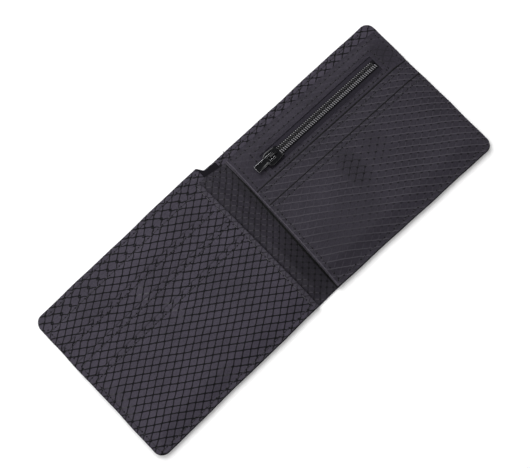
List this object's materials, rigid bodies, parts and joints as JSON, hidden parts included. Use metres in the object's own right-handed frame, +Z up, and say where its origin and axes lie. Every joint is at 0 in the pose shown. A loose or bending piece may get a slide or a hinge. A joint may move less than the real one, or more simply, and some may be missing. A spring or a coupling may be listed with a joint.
{
  "type": "bifold wallet",
  "caption": "Slim cloth bifold wallet lying open: card pockets on one half, zipped coin pocket and card pockets on the other, full-length note compartment behind.",
  "frame": {"origin": "middle of the underside of the open wallet, on the fold line", "axes": "+X along the open wallet towards the half with the zip, +Y towards the open edge of the note compartment, +Z up out of the pockets"},
  "size_m": [0.23, 0.092, 0.0075],
  "materials": {
    "ripstop_cloth": "charcoal woven cloth with a diamond ripstop grid, dull, slightly coated",
    "lining_cloth": "thin plain-weave lining, near black",
    "thread": "black bonded polyester thread",
    "zip_tape": "black woven zip tape",
    "zip_coil": "black nylon coil with a soft sheen",
    "slider_finish": "black painted die-cast zinc, worn brighter on the edges"
  },
  "bodies": {
    "left_half": {"left_card_pocket_front": "ripstop_cloth", "left_card_pocket_middle": "ripstop_cloth", "left_card_pocket_upper": "ripstop_cloth", "left_divider": "ripstop_cloth", "left_edge_thread": "thread", "left_hem_thread": "thread", "left_inner_edge_thread": "thread", "left_mouth_thread": "thread", "left_shell": "ripstop_cloth", "left_shell_lining": "lining_cloth", "left_shell_thread": "thread", "left_stack_base": "ripstop_cloth"},
    "right_half": {"right_card_pocket_front": "ripstop_cloth", "right_card_pocket_upper": "ripstop_cloth", "right_divider": "ripstop_cloth", "right_edge_thread": "thread", "right_hem_thread": "thread", "right_inner_edge_thread": "thread", "right_mouth_thread": "thread", "right_shell": "ripstop_cloth", "right_shell_lining": "lining_cloth", "right_shell_thread": "thread", "right_stack_base": "ripstop_cloth", "zip_box_thread": "thread", "zip_coil_lower": "zip_coil", "zip_coil_upper": "zip_coil", "zip_panel": "ripstop_cloth", "zip_tape_lower": "zip_tape", "zip_tape_upper": "zip_tape"},
    "zip_slider": {"slider_body": "slider_finish", "slider_bridge": "slider_finish"},
    "pull": {"pull_tab": "slider_finish"}
  },
  "joints": [
    {"name": "fold", "type": "hinge", "parent": "left_half", "child": "right_half", "pos_m": [0, 0, 0.00617], "axis": [0, -1, 0], "range_deg": [0, 179]},
    {"name": "zip_travel", "type": "slide", "parent": "right_half", "child": "zip_slider", "axis": [1, 0, 0], "range_m": [0, 0.0678]},
    {"name": "pull_flip", "type": "hinge", "parent": "zip_slider", "child": "pull", "pos_m": [0.0278, 0.026, 0.00645], "axis": [0, 1, 0], "range_deg": [0, 180]}
  ]
}
